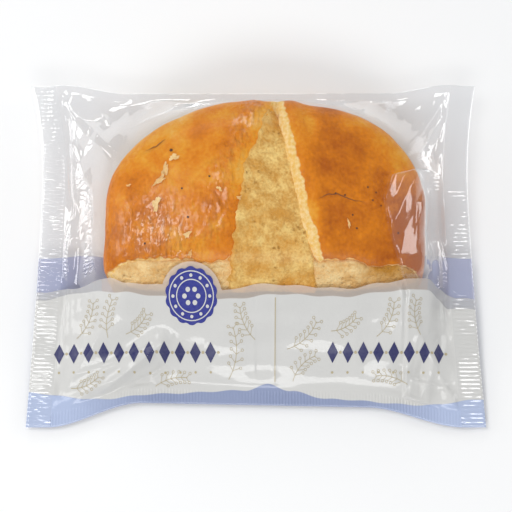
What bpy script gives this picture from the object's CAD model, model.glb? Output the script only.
"""A hot cross bun sealed in a clear film pack with a printed front panel.

The pack lies on its back with the bun showing. Shape functions work in
millimetres on whole numpy arrays, and meshes are stored in metres. +X runs
from end seal to end seal, +Y from the fin to the fold behind the bun, +Z up.
"""
import itertools
import math
from collections import namedtuple

import bpy
import numpy as np
from bpy.props import FloatProperty, FloatVectorProperty, PointerProperty
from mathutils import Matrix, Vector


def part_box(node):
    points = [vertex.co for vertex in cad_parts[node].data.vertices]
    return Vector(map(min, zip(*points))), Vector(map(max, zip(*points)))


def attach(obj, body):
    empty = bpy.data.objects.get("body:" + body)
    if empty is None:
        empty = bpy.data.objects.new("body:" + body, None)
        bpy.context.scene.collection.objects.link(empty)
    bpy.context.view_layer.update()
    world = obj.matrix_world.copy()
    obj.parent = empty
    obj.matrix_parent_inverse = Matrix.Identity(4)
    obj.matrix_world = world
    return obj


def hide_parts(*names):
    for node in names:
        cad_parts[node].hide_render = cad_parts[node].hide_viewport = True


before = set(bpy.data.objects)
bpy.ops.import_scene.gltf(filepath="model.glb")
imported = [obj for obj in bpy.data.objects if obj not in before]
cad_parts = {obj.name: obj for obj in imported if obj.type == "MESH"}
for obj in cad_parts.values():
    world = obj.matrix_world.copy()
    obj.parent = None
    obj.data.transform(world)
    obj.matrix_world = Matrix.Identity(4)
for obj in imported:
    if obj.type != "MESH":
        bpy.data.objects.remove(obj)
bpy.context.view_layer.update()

bl_info = {
    "name": "Packed hot cross bun",
    "version": (1, 0, 0),
    "blender": (4, 5, 0),
    "location": "3D View > Sidebar > Bun",
    "description": "Makes a hot cross bun in a clear printed film pack, with its stage",
    "category": "Add Mesh",
}

PACK_LOW, PACK_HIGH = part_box("bun_pack")
BODY = "root"
MM = 0.001

# ---- driving dimensions, in millimetres ---------------------------------

HALF_DEPTH = (PACK_HIGH.y - PACK_LOW.y) / 2 / MM
CROWN = PACK_HIGH.z / MM

Side = namedtuple("Side", "waist rear_flare front_flare")
LEFT = Side(77.0, 4.6, 4.6)
RIGHT = Side(76.2, 3.4, 5.4)
WAIST_Y = 27.0
FRONT_MIDDLE, FRONT_SLOPE, FRONT_CORNER = 53.9, 0.02, (40.0, 74.0)
REAR_MIDDLE, REAR_HUMP, REAR_DROP = 58.6, (46.0, 70.0), 0.55

SEAL_WIDTH, FIN_WIDTH, REAR_FOLD = 8.6, 5.5, 2.2
SEAL_FRONT_HEIGHT, SEAL_REAR_HEIGHT = 2.0, 9.0
SHEET_GAP = 0.3          # from the middle of a seal to each of its two sheets
EDGE_CLOSE = 0.5         # the sheets meet over this distance from the outline

# A rounded form: superellipse plan about the bun's middle, domed above.
Form = namedtuple("Form", "half_width rear front front_power crown")
BUN_X, BUN_Y, EQUATOR, DOME_POWER = 3.0, 10.0, 20.0, 2.6
REAR_LEFT_POWER, REAR_RIGHT_POWER = 2.15, 2.35
FILM_FORM = Form(57.0, 43.0, 25.0, 7.0, CROWN)
BUN_FORM = Form(56.3, 42.4, 24.0, 7.0, CROWN - 1.3)
SPINE = 32.0             # half of the line that the free film's rays start from
SAG_FRONT, SAG_SIDE = 1.3, 2.0   # powers of the free film's curve
BASE_SHARE = 0.86        # the lower film is level out to this share of the bun's plan
BASE_FRONT = 1.2         # and this much further in front
BASE_RISE = 1.5          # power of its rise from there
FLOOR_GAP = 0.08         # the lower film lies this far above the floor

FAR_BELOW = -99.0        # stands for a height or a line that isn't there
TINY = 1e-9              # keeps a divisor above 0

# Wavy edges of the white print, of the veil above it and of the band: x and y.
WHITE_LINE = (
    (-82, -17.2), (-76.7, -16.6), (-63.5, -14.4), (-56, -15.1), (-46, -16.6), (-31.9, -18),
    (-9.7, -18.9), (8, -17.4), (30, -18.2), (46, -16.4), (60.5, -15), (64.9, -16.8),
    (69, -19.6), (82, -20),
)
VEIL_LINE = (
    (-82, -14.5), (-76.5, -13.8), (-66, -12.8), (-51, -11.2), (-44.9, -13.8), (-9.7, -16.2),
    (0, -14.3), (32.9, -15.6), (44.4, -13.6), (60.3, -11.4), (65.5, -13.4), (72, -16),
    (82, -16.5),
)
BAND_LINE = (
    (-82, -49.6), (-56.7, -51.9), (-34, -49.9), (-3.9, -48.7), (4.6, -46.6), (12.4, -49),
    (25.9, -51.8), (60.2, -54), (82, -51.8),
)
EDGE_WAVE, WAVE_LENGTH = 0.2, 1.9   # small waves along those edges
BAND_FADE_X = 52.0       # the band has half turned paler this far from the middle
BAND_FADE = 120.0        # how many times wider than an ink edge that change is
BACK_LINE, BACK_RISE = -1.6, 1.6    # rear edge of the lower film's ink, higher at the ends
BADGE = (-22.4, -18.0, 9.1)         # its middle and radius
HALO = 1.5               # of the veil round the badge
# Left side of the loose pouch of film over the bun's right end: y and x.
POUCH_LINE = ((-16.0, 52.0), (-13.0, 50.6), (2.0, 46.0), (15.0, 43.8), (23.0, 46.0), (29.0, 61.0))


def mix(a, b, t):
    return a + (b - a) * t


def smooth(start, end, value):
    """Rises from 0 at start to 1 at end, level at both ends: 3t^2 - 2t^3."""
    t = np.clip((value - start) / (end - start), 0.0, 1.0)
    return t * t * (3.0 - 2.0 * t)


def bell(value, middle, width):
    """A bell of height 1 about middle: exp(-((value - middle) / width)^2)."""
    return np.exp(-(((value - middle) / width) ** 2))


# ---- random fields ------------------------------------------------------

LATTICE = 32             # corners along a side before the random values repeat
TURN = np.array([[0.36, 0.48, -0.80], [-0.80, 0.60, 0.0], [0.48, 0.64, 0.60]])
NOISE_GAIN = 1.7         # brings the blended slopes to about -1 to 1
FACET_BEND = 0.45        # how far a facet's lattice is bent, in its own cells


def noise(x, y, z, size, seed):
    """Smooth random field, about -1 to 1, with features of the given size.

    Each corner of a cubic lattice has a random slope. The corners' linear
    fields are blended by a fifth-power ease (gradient noise). The lattice is
    turned, so that its planes don't line up with the axes.
    """
    slopes = np.random.default_rng(seed).normal(size=(LATTICE, LATTICE, LATTICE, 3))
    slopes /= np.linalg.norm(slopes, axis=-1, keepdims=True)
    place = np.stack(np.broadcast_arrays(x, y, z), axis=-1) @ TURN.T / size
    cell = np.floor(place).astype(int)
    local = place - cell
    ease = local ** 3 * (local * (local * 6.0 - 15.0) + 10.0)
    total = np.zeros(local.shape[:-1])
    for corner in itertools.product((0, 1), repeat=3):
        at = (cell + corner) % LATTICE
        value = (slopes[at[..., 0], at[..., 1], at[..., 2]] * (local - corner)).sum(axis=-1)
        total += value * np.where(corner, ease, 1.0 - ease).prod(axis=-1)
    return total * NOISE_GAIN


def line_noise(value, size, seed):
    """The same field along a line."""
    return noise(value, 0 * value, 0 * value, size, seed)


def facets(x, y, size, stretch, angle, seed):
    """Height of a crumpled sheet, -1 to 1: flat triangles between random
    heights on a lattice that is turned by angle, drawn out by stretch along
    it and bent a little."""
    turn = math.radians(angle)
    along = (x * math.cos(turn) + y * math.sin(turn)) / stretch
    across = y * math.cos(turn) - x * math.sin(turn)
    bend_u, bend_v = (FACET_BEND * noise(along, across, 0.0 * x, 1.7 * size, seed + k)
                      for k in (1, 2))
    u, v = along / size + bend_u, across / size + bend_v
    heights = np.random.default_rng(seed).uniform(-1.0, 1.0, size=(LATTICE, LATTICE))
    i, j = np.floor(u).astype(int), np.floor(v).astype(int)
    s, t = u - i, v - j
    low, right, rear, far = (heights[(i + a) % LATTICE, (j + b) % LATTICE]
                             for a, b in ((0, 0), (1, 0), (0, 1), (1, 1)))
    near_half = low + s * (right - low) + t * (rear - low)
    far_half = far + (1.0 - s) * (rear - far) + (1.0 - t) * (right - far)
    return np.where(s + t < 1.0, near_half, far_half)


# ---- the pack's outline and heights, as in the solid ---------------------

def half_length(side, y):
    """Half length at y: the waist plus a flare that grows towards a corner."""
    rear = np.clip((y - WAIST_Y) / (HALF_DEPTH - WAIST_Y), 0.0, None)
    front = np.clip((WAIST_Y - y) / (HALF_DEPTH + WAIST_Y), 0.0, None)
    return side.waist + side.rear_flare * rear ** 2 + side.front_flare * front ** 1.4


def left_edge(y):
    return -half_length(LEFT, y)


def right_edge(y):
    return half_length(RIGHT, y)


def front_edge(x):
    """Nearly straight, with the two corners lower."""
    corner = smooth(*FRONT_CORNER, np.abs(x))
    return -mix(FRONT_MIDDLE + FRONT_SLOPE * x, HALF_DEPTH, corner)


def rear_edge(x):
    """Straight behind the bun, with a hump towards each end."""
    hump = smooth(*REAR_HUMP, np.abs(x))
    drop = REAR_DROP * smooth(REAR_HUMP[1], LEFT.waist, np.abs(x))
    return mix(REAR_MIDDLE, HALF_DEPTH, hump) - drop


def left_seal(y):
    return left_edge(y) + SEAL_WIDTH


def right_seal(y):
    return right_edge(y) - SEAL_WIDTH


def fin_line(x):
    return front_edge(x) + FIN_WIDTH


def rear_line(x):
    return rear_edge(x) - REAR_FOLD


def from_seals(x, y):
    """How far a point lies inside the inner edges of the seals."""
    sides = np.minimum(x - left_seal(y), right_seal(y) - x)
    return np.minimum(sides, np.minimum(y - fin_line(x), rear_line(x) - y))


def from_outline(x, y):
    """How far a point lies inside the pack's outline."""
    sides = np.minimum(x - left_edge(y), right_edge(y) - x)
    return np.minimum(sides, np.minimum(y - front_edge(x), rear_edge(x) - y))


def seal_height(y):
    """Height of the seals' middle, which rises evenly from front to rear."""
    return mix(SEAL_FRONT_HEIGHT, SEAL_REAR_HEIGHT, (y + HALF_DEPTH) / (2 * HALF_DEPTH))


def bun_share(form, x, y):
    """Share of the way from the middle to the side of a form, 1 on its plan
    outline: the p-norm of the two shares along the axes."""
    across = np.abs(x - BUN_X) / form.half_width
    rear_power = np.where(x < BUN_X, REAR_LEFT_POWER, REAR_RIGHT_POWER)
    power = np.where(y < BUN_Y, form.front_power, rear_power)
    depth = np.abs(y - BUN_Y) / np.where(y < BUN_Y, form.front, form.rear)
    return (across ** power + depth ** power) ** (1.0 / power)


def dome(form, x, y):
    """Height over a form: the equator plus a root of 1 - share^power, and the
    equator outside."""
    share = np.minimum(bun_share(form, x, y), 1.0)
    return mix(EQUATOR, form.crown, np.sqrt(1.0 - share ** DOME_POWER))


def spine_ray(x, y):
    """Foot on the spine, distance from it and direction, for each point."""
    foot = np.clip(x, BUN_X - SPINE, BUN_X + SPINE)
    r = np.hypot(x - foot, y - BUN_Y)
    safe = np.maximum(r, TINY)
    return foot, r, (x - foot) / safe, (y - BUN_Y) / safe


HALVINGS = 24            # of a ray, to find where it leaves a region
TOUCH_STEPS = 200        # places along a ray where the free film may leave the bun


def reach(inside, like):
    """Distance along each ray to the edge of a region, by halving."""
    near, far = np.zeros_like(like), np.full_like(like, HALF_DEPTH + LEFT.waist)
    for _ in range(HALVINGS):
        middle = (near + far) / 2
        within = inside(middle)
        near, far = np.where(within, middle, near), np.where(within, far, middle)
    return near


def free_film(x, y):
    """Height of the upper film without folds, and the distance past the line
    where it leaves the bun.

    Along each ray from the spine the free film is the lowest power curve from
    the seal that clears the dome. More slack at the ends is a higher power.
    """
    foot, r, c, s = spine_ray(x, y)
    seal_r = reach(lambda d: from_seals(foot + d * c, BUN_Y + d * s) > 0.0, r)
    seal_z = seal_height(BUN_Y + seal_r * s) + SHEET_GAP
    power = mix(SAG_FRONT, SAG_SIDE, np.abs(c))
    touch_r, scale = np.zeros_like(r), np.zeros_like(r)
    for share in np.linspace(0.0, 1.0, TOUCH_STEPS, endpoint=False):
        at = seal_r * share
        px, py = foot + at * c, BUN_Y + at * s
        over = bun_share(FILM_FORM, px, py) < 1.0
        height = np.where(over, dome(FILM_FORM, px, py), FAR_BELOW)
        found = np.clip(height - seal_z, 0.0, None) ** (1.0 / power) / (seal_r - at)
        better = found > scale
        touch_r = np.where(better, at, touch_r)
        scale = np.where(better, found, scale)
    hanging = seal_z + (scale * np.clip(seal_r - r, 0.0, None)) ** power
    return np.where(r < touch_r, dome(FILM_FORM, x, y), hanging), r - touch_r


# ---- folds and creases in the film --------------------------------------

Fold = namedtuple("Fold", "height width path")

# Round folds, as in the solid.
ROUND_FOLDS = (
    Fold(3.2, 3.4, ((-33, -31), (-66, -55))),
    Fold(1.8, 3.0, ((-70, 52), (-50, 30))),
    Fold(1.8, 3.0, ((70, 54), (56, 36))),
    Fold(-1.6, 5.0, ((52, -40), (64, -46))),
)
FOLD_ENDS = (0.15, 0.85)   # shares of half a sine wave at a round fold's ends
# Sharp creases: each falls away from its line to both sides.
CREASES = (
    Fold(0.9, 1.6, ((-66.4, 44), (-65.6, 20), (-66.6, -4), (-69.0, -44))),
    Fold(1.3, 1.8, ((71, 56), (61.9, 40.6), (56.4, 31.5), (51.5, 27))),
    Fold(1.0, 1.5, ((43.8, 15), (46.5, 25), (53, 27.5), (60, 22))),
    Fold(1.2, 1.6, ((43.8, 15), (46.0, 2), (50.6, -13), (51.0, -37))),
    Fold(0.8, 1.2, ((60, 22), (61.5, 5), (62, -12))),
    Fold(0.9, 1.4, ((-78, 58), (-66, 38), (-60, 24))),
    Fold(0.8, 1.2, ((-72, 58), (-61, 42), (-52, 33))),
    Fold(0.7, 1.2, ((-60, 57), (-52, 45))),
    Fold(0.8, 1.3, ((-66, 30), (-58, 22), (-57, 8))),
    Fold(0.7, 1.2, ((-66, 6), (-58, 2), (-56, -8))),
    Fold(0.7, 1.0, ((64, 20), (66, 0), (67, -30))),
    Fold(0.6, 1.0, ((-35, -33), (-52, -40), (-66, -44))),
    Fold(2.6, 2.6, ((-30, -31.5), (-40, -38.5), (-50, -46), (-57, -52))),
    Fold(-2.2, 2.4, ((-31, -39), (-43, -47), (-50, -51))),
    Fold(0.7, 1.0, ((53, -44), (60, -46.5), (67, -47.5), (68.5, -50))),
    Fold(0.5, 0.8, ((20, 52), (42, 46), (52, 40))),
    Fold(0.5, 0.8, ((-10, 54), (-30, 50), (-44, 44))),
    Fold(0.35, 0.6, ((6.7, -16), (6.7, -48))),
)


def line_distance(path, x, y):
    """Distance to the nearest stretch of a path of straight lines, and how
    far along the whole path that place is, 0 to 1."""
    best = np.full(np.shape(x), np.inf)
    share = np.zeros(np.shape(x))
    stretches = len(path) - 1
    for k, ((ax, ay), (bx, by)) in enumerate(zip(path, path[1:])):
        dx, dy = bx - ax, by - ay
        t = np.clip(((x - ax) * dx + (y - ay) * dy) / (dx * dx + dy * dy), 0.0, 1.0)
        away = np.hypot(x - ax - t * dx, y - ay - t * dy)
        share = np.where(away < best, (k + t) / stretches, share)
        best = np.minimum(best, away)
    return best, share


def fold_relief(x, y):
    """Sum of the round folds: a bell across each line, high in its middle."""
    total = 0.0
    for fold in ROUND_FOLDS:
        away, share = line_distance(fold.path, x, y)
        total = total + fold.height * np.sin(np.pi * mix(*FOLD_ENDS, share)) \
            * bell(away, 0.0, fold.width)
    return total


def crease_relief(x, y):
    """Sum of the sharp creases: each falls off as exp(-distance / width), and
    is a quarter as high at its two ends."""
    total = 0.0
    for fold in CREASES:
        away, share = line_distance(fold.path, x, y)
        ends = smooth(0.0, 0.12, share) * smooth(1.0, 0.85, share)
        total = total + fold.height * mix(0.25, 1.0, ends) * np.exp(-away / fold.width)
    return total


# Facets of the crumpling: size, stretch, lean in degrees and seed.
LARGE_LEFT, LARGE_RIGHT = (10.0, 1.7, -64.0, 11), (10.0, 1.9, 65.0, 14)
SMALL_FACETS, POUCH_FACETS = (4.5, 2.0, 80.0, 17), (3.8, 3.0, 82.0, 23)
LARGE_SHARE, SMALL_SHARE, WAVE_SHARE = 0.85, 0.2, 0.4
LAID_CRUMPLE, PANEL_CRUMPLE = 0.08, 0.3   # on the bun, and on the panel beside it
POUCH_LIFT, POUCH_FOLDS = 1.7, 1.4


def crinkle_relief(x, y, height):
    """Crumpling in flat facets, drawn out towards the rear corners: strong
    beside the bun, weak on the panel, where long waves run across."""
    beside = smooth(44.0, 60.0, np.abs(x - BUN_X))
    behind = smooth(34.0, 50.0, y)
    front = smooth(-16.0, -26.0, y)
    large = np.where(x < 0.0, facets(x, y, *LARGE_LEFT), facets(x, y, *LARGE_RIGHT))
    small = facets(x, y, *SMALL_FACETS)
    strength = np.clip(beside + 0.5 * behind, 0.0, 1.0) * mix(1.0, PANEL_CRUMPLE, front) \
        + LAID_CRUMPLE
    long_waves = noise(x / 3.0, y, 0.0 * x, 9.0, 20) * front * WAVE_SHARE
    return height * (strength * (LARGE_SHARE * large + SMALL_SHARE * small) + long_waves)


def pouch_relief(x, y):
    """The pouch stands off the bun behind a sharp step, crumpled lengthwise,
    and eases out past the bun's right end."""
    folds = facets(x, y, *POUCH_FACETS)
    return smooth(0.0, 1.2, pouch_depth(x, y)) * (POUCH_LIFT + POUCH_FOLDS * folds) \
        * smooth(66.0, 60.0, x)


def seal_ridges(x, y, pitch, height):
    """Crimp ridges across an end seal: a wave along y under a patchy bite,
    which is weak near the rear and fades at the seal's two edges."""
    inner = -from_seals(x, y)
    bite = (0.6 + 0.5 * noise(x, y, 0.0 * x, 12.0, 21) + 0.4 * noise(x, y, 0.0 * x, 2.5, 22)) \
        * mix(0.15, 1.0, smooth(44.0, 24.0, y))
    ease = smooth(0.3, 1.6, inner) * smooth(0.0, 1.2, from_outline(x, y))
    return height * bite * ease * np.sin(2 * np.pi * y / pitch)


FIN_RIPPLE, FIN_PITCH = 0.14, 1.1   # half height of the fin's crimps and their distance


def fin_ripples(x, y):
    """Crimps along the fin: a short wave along x that swells and fades."""
    ease = smooth(0.0, 1.0, from_outline(x, y)) * smooth(0.0, 1.5, fin_line(x) - y)
    return FIN_RIPPLE * ease * np.sin(2 * np.pi * x / FIN_PITCH) * (0.6 + 0.4 * np.sin(x / 7.0))


FOLD_START, CREASE_START = 4.0, 2.5   # these are whole this far inside the seals
LAID_SLACK = 0.12        # share of the creases and crumpling left on the bun
SLACK_RISE = (-6.0, 5.0)  # where it grows to 1, past the line where the film leaves
FILM_AIR, AIR_START = 0.5, 3.0   # least gap between the films, and where it is whole


def upper_film(x, y, film):
    """Height of the upper film, with its folds, creases and crinkles."""
    base, past_touch = free_film(x, y)
    inside = from_seals(x, y)
    loose = smooth(0.0, FOLD_START, inside)
    folds = fold_relief(x, y) * loose * smooth(0.0, FOLD_START, past_touch)
    slack = mix(LAID_SLACK, 1.0, smooth(*SLACK_RISE, past_touch))
    fine = crease_relief(x, y) + crinkle_relief(x, y, film.crinkle / MM)
    height = base + folds + smooth(0.0, CREASE_START, inside) * slack * fine + pouch_relief(x, y)
    height = np.maximum(height, lower_film(x, y) + FILM_AIR * smooth(0.0, AIR_START, inside))
    close = smooth(0.0, EDGE_CLOSE, from_outline(x, y))
    flat = seal_height(y) + SHEET_GAP * close
    return np.where(inside > 0.0, height, flat)


def lower_film(x, y):
    """Height of the lower film: level under the bun, then rising to the seals
    as a power of the share of the way."""
    foot, r, c, s = spine_ray(x, y)
    wide = FILM_FORM._replace(front=FILM_FORM.front * BASE_FRONT)
    seal_r = reach(lambda d: from_seals(foot + d * c, BUN_Y + d * s) > 0.0, r)
    base_r = reach(lambda d: bun_share(wide, foot + d * c, BUN_Y + d * s) < BASE_SHARE, r)
    seal_z = seal_height(BUN_Y + seal_r * s) - SHEET_GAP
    t = np.clip((r - base_r) / (seal_r - base_r), 0.0, 1.0)
    rise = FLOOR_GAP + (seal_z - FLOOR_GAP) * t ** BASE_RISE
    close = smooth(0.0, EDGE_CLOSE, from_outline(x, y))
    flat = seal_height(y) - SHEET_GAP * close
    return np.where(from_seals(x, y) > 0.0, rise, flat)


# ---- edges of the print -------------------------------------------------

def print_edge(line, x):
    """y of a print edge: an eased run from point to point of its line, with
    small waves."""
    level = float(line[0][1])
    for (start, low), (end, high) in zip(line, line[1:]):
        level = level + (high - low) * smooth(start, end, x)
    return level + EDGE_WAVE * np.sin(x / WAVE_LENGTH)


def white_edge(x):
    return print_edge(WHITE_LINE, x)


def tint_edge(x):
    """The veil's edge: it also runs round the badge at an even distance."""
    badge_x, badge_y, radius = BADGE
    halo = np.sqrt(np.clip((radius + HALO) ** 2 - (x - badge_x) ** 2, 0.0, None))
    return np.maximum(print_edge(VEIL_LINE, x), np.where(halo > 0.0, badge_y + halo, FAR_BELOW))


def back_edge(x):
    return BACK_LINE + BACK_RISE * bell(np.abs(x), 60.0, 8.0)


def band_edge(x):
    return print_edge(BAND_LINE, x)


def pouch_depth(x, y):
    """Distance into the loose pouch of film over the bun's right end."""
    return np.minimum(x - np.interp(y, *zip(*POUCH_LINE)), POUCH_LINE[-1][0] - y)


# ---- meshes -------------------------------------------------------------

SETTLING = 8             # rounds in which x and y, each given by the other, settle
WELD_STEP = 1e-4         # points nearer than this are one


def plan_grid(left, right, low, high, columns, rows):
    """Plan points between two side lines x(y) and two end lines y(x), found
    by settling x and y in turn."""
    s = np.linspace(0.0, 1.0, columns)[None, :]
    t = np.linspace(0.0, 1.0, rows)[:, None]
    x, y = np.zeros((rows, columns)), np.zeros((rows, columns))
    for _ in range(SETTLING):
        x = mix(left(y), right(y), s)
        y = mix(low(x), high(x), t)
    return x, y


def grid_faces(rows, columns, wrap=False):
    """Quads of a grid, counter-clockwise where columns run right and rows up."""
    index = np.arange(rows * columns).reshape(rows, columns)
    if wrap:
        index = np.concatenate([index, index[:, :1]], axis=1)
    corners = (index[:-1, :-1], index[:-1, 1:], index[1:, 1:], index[1:, :-1])
    return np.stack(corners, axis=-1).reshape(-1, 4)


def make_piece(name, points, faces, material, fields=()):
    """Mesh object from points in millimetres and faces of one size, riding on
    the body. fields are named numbers for each point."""
    mesh = bpy.data.meshes.new(name)
    faces = np.asarray(faces)
    size = faces.shape[1]
    mesh.vertices.add(len(points))
    mesh.vertices.foreach_set("co", (np.asarray(points) * MM).astype(np.float32).ravel())
    mesh.loops.add(faces.size)
    mesh.loops.foreach_set("vertex_index", faces.astype(np.int32).ravel())
    mesh.polygons.add(len(faces))
    mesh.polygons.foreach_set("loop_start", np.arange(0, faces.size, size, dtype=np.int32))
    mesh.update(calc_edges=True)
    mesh.validate()
    mesh.shade_smooth()
    for label, values in dict(fields).items():
        held = mesh.attributes.new(label, "FLOAT", "POINT")
        held.data.foreach_set("value", np.asarray(values, dtype=np.float32).ravel())
    mesh.materials.append(material)
    piece = bpy.data.objects.new(name, mesh)
    bpy.context.scene.collection.objects.link(piece)
    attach(piece, BODY)
    return piece


def weld(points, faces):
    """Joins points that lie in one place, and cuts quads into triangles so
    that those with two corners in one place can be left out."""
    steps = np.round(points / WELD_STEP).astype(np.int64)
    _, first, where = np.unique(steps, axis=0, return_index=True, return_inverse=True)
    quads = where.reshape(-1)[faces]
    triangles = np.concatenate([quads[:, [0, 1, 2]], quads[:, [0, 2, 3]]])
    a, b, c = triangles.T
    return first, triangles[(a != b) & (b != c) & (c != a)]


def sheet_piece(name, x, y, z, material, fields=(), down=False):
    """Open sheet over a plan grid. It faces up, or down."""
    faces = grid_faces(*x.shape)
    if down:
        faces = faces[:, ::-1]
    points = np.stack([x, y, z], axis=-1).reshape(-1, 3)
    return make_piece(name, points, faces, material, fields)


def slab_piece(name, front, back, material, fields=()):
    """Closed slab between two grids of points that share their layout."""
    rows, columns = front.shape[:2]
    count = rows * columns
    index = np.arange(count).reshape(rows, columns)
    rim = np.concatenate([index[0, :-1], index[:-1, -1], index[-1, :0:-1], index[:0:-1, 0]])
    after = np.roll(rim, -1)
    walls = np.stack([rim, rim + count, after + count, after], axis=-1)
    face = grid_faces(rows, columns)
    faces = np.concatenate([face, face[:, ::-1] + count, walls])
    points = np.concatenate([front.reshape(-1, 3), back.reshape(-1, 3)])
    doubled = {label: np.tile(np.ravel(values), 2) for label, values in dict(fields).items()}
    return make_piece(name, points, faces, material, doubled)


# ---- the bun's own surface ----------------------------------------------

SIDE_POWER = 4.0         # of the side below the equator
BUN_BOTTOM = 0.5
UNDER_STRIP = 1.6        # from the strip's face down to the crust below it
TORN_STEP = 1.2          # the crust ends this far above the torn front
TORN_Y = -6.8            # front edge of the crust
TORN_ENDS = (56.6, 54.0)  # the crumb fades out this far from the bun's middle
FRONT_LEAN = (2.5, 11.0)  # how far the torn front runs forward, above and below the equator
LEAN_DEPTH, LEAN_POWER = 17.0, 1.6   # the lower lean is whole this far down
BASE_DRAW = 0.06         # share by which the base is narrower than the equator
STRIP_FOOT, STRIP_LENGTH = -9.0, 57.0   # y of the strip's front end, and its length in plan


def strip_left(y):
    """Left edge of the pale strip: a power curve that leans right at the
    rear, with a shoulder and a ragged line."""
    shoulder = 0.8 * bell(y, 35.5, 3.0) - 1.3 * bell(y, 27.5, 4.5)
    ragged = 0.9 * line_noise(y, 3.2, 30) + 0.5 * line_noise(y, 1.2, 35)
    along = np.clip((y - STRIP_FOOT) / STRIP_LENGTH, 0.0, None)
    return -9.0 + 14.2 * along ** 1.7 + shoulder + ragged


def strip_right(y):
    return 19.3 - 0.21 * (y - STRIP_FOOT)


def across_strip(x, y):
    """Share of the way over the strip, 0 at its left edge to 1 at its right."""
    return (x - strip_left(y)) / (strip_right(y) - strip_left(y))


def lip_width(y):
    """Width of the pale torn side of the right lobe: wider at its front end."""
    ragged = 0.8 * line_noise(y, 5.0, 31) + 0.5 * line_noise(y, 1.6, 34)
    return 3.0 + 1.1 * smooth(8.0, 2.0, y) + ragged


def torn_edge(x):
    """y of the crust's front edge, a ragged line that hangs lower at the right."""
    ragged = 1.5 * line_noise(x, 9.0, 32) + 0.9 * line_noise(x, 2.4, 33)
    return TORN_Y + ragged - 1.6 * smooth(30.0, 40.0, x)


def lower_height(share):
    """Height of the side and underside at a share of the plan."""
    drop = (1.0 - np.minimum(share, 1.0) ** SIDE_POWER) ** (1.0 / SIDE_POWER)
    return mix(EQUATOR, BUN_BOTTOM, drop)


def lean_front(x, y, z):
    """Draws the front forward below the crust, and the base in a little."""
    above, below = FRONT_LEAN
    shift = above * smooth(30.0, EQUATOR, z)
    shift = shift + below * np.clip((EQUATOR - z) / LEAN_DEPTH, 0.0, 1.0) ** LEAN_POWER
    inward = 1.0 - BASE_DRAW * np.clip((EQUATOR - z) / EQUATOR, 0.0, 1.0) ** 2
    return BUN_X + (x - BUN_X) * inward, y - shift * smooth(3.0, -8.0, y), z


def bun_normal(x, y, z):
    """Outward direction of the plain form, from the slopes of its equation
    share^a + height^b = 1, whose powers differ above and below the equator."""
    step = 0.02
    share = bun_share(BUN_FORM, x, y)
    slope_x = (bun_share(BUN_FORM, x + step, y) - bun_share(BUN_FORM, x - step, y)) / (2 * step)
    slope_y = (bun_share(BUN_FORM, x, y + step) - bun_share(BUN_FORM, x, y - step)) / (2 * step)
    rise = BUN_FORM.crown - EQUATOR
    fall = EQUATOR - BUN_BOTTOM
    above = z >= EQUATOR
    gain = np.where(above, DOME_POWER * share ** (DOME_POWER - 1),
                    SIDE_POWER * share ** (SIDE_POWER - 1))
    up = np.where(above, 2 * (z - EQUATOR) / rise ** 2,
                  -SIDE_POWER * np.clip((EQUATOR - z) / fall, 0, 1) ** (SIDE_POWER - 1) / fall)
    normal = np.stack([gain * slope_x, gain * slope_y, up], axis=-1)
    return normal / np.maximum(np.linalg.norm(normal, axis=-1, keepdims=True), TINY)


def torn_share(x, y, z):
    """1 where the front is torn crumb, 0 on the crust and round both ends."""
    ends = smooth(*TORN_ENDS, np.abs(x - BUN_X))
    return smooth(0.6, -0.6, y - torn_edge(x)) * smooth(1.0, 4.0, z) * ends


def strip_drop(x, y, bun):
    """How far the strip lies under the plain form: level with the crust at
    its left edge and deep under the right lobe's lip."""
    return mix(-0.1, 1.0, np.clip(across_strip(x, y), 0.0, 1.0)) * bun.groove / MM


def groove_share(x, y):
    """1 in the groove that the strip lies in, easing out over its sides."""
    left = strip_left(y)
    right = strip_right(y)
    return smooth(left + 0.1, left + 1.8, x) \
        * (1.0 - smooth(right - 2.2, right + 0.8 * lip_width(y), x)) * smooth(-16.0, -9.0, y)


def swell(x, y, z):
    """Slow swells of the whole bun."""
    return 0.8 * noise(x, y, z, 26.0, 41) + 0.35 * noise(x, y, z, 10.0, 42)


def crust_relief(x, y, z, bun):
    """How far the crust stands out of the plain form: slow swells, fine
    wrinkles, the strip's groove, a rolled edge beside it and the torn front."""
    wrinkled = wrinkle_share(x, y)
    folds = 1.0 - np.abs(noise(x * 1.3, y * 0.8, z, 3.4, 43))
    fine = 1.0 - np.abs(noise(x * 1.2, y * 0.9, z, 1.5, 44))
    wrinkles = bun.wrinkle / MM * wrinkled * (0.7 * folds ** 2 + 0.4 * fine ** 2)
    lobe_edge = strip_right(y) + lip_width(y)
    rolled = 0.7 * bell(x, lobe_edge + 3.0, 3.0) * smooth(-10.0, -4.0, y)
    groove = (strip_drop(x, y, bun) + UNDER_STRIP) * groove_share(x, y) * smooth(8.0, 16.0, z)
    torn = -TORN_STEP * torn_share(x, y, z)
    crack = sum(-CRACK_DEPTH * bell(line_distance(path, x, y)[0], 0.0, CRACK_WIDTH)
                for path in CRACKS)
    upper = smooth(2.0, 10.0, z)
    return upper * (swell(x, y, z) + wrinkles + rolled + crack) - groove + torn


def wrinkle_share(x, y):
    """Where the glaze is wrinkled: most at the front of the left lobe."""
    patch = bell(x, -35.0, 13.0) * bell(y, 3.0, 14.0)
    creases = 0.55 * bell(x - strip_left(y), -7.0, 5.0) * smooth(-4.0, 4.0, y)
    return np.clip(0.12 + patch + creases, 0.0, 1.0)


# Cracks in the crust: plan paths. The first two are split open and brown.
CRACKS = (
    ((-38.6, 33.0), (-35.0, 34.2), (-31.7, 36.6)),
    ((21.5, 14.0), (25.0, 15.6), (28.0, 15.9), (32.0, 14.2), (37.5, 13.2)),
    ((-21.0, 19.5), (-14.0, 17.0), (-10.5, 11.0)),
)
OPEN_CRACKS = 2
CRACK_DEPTH, CRACK_WIDTH = 0.5, 0.7


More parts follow.
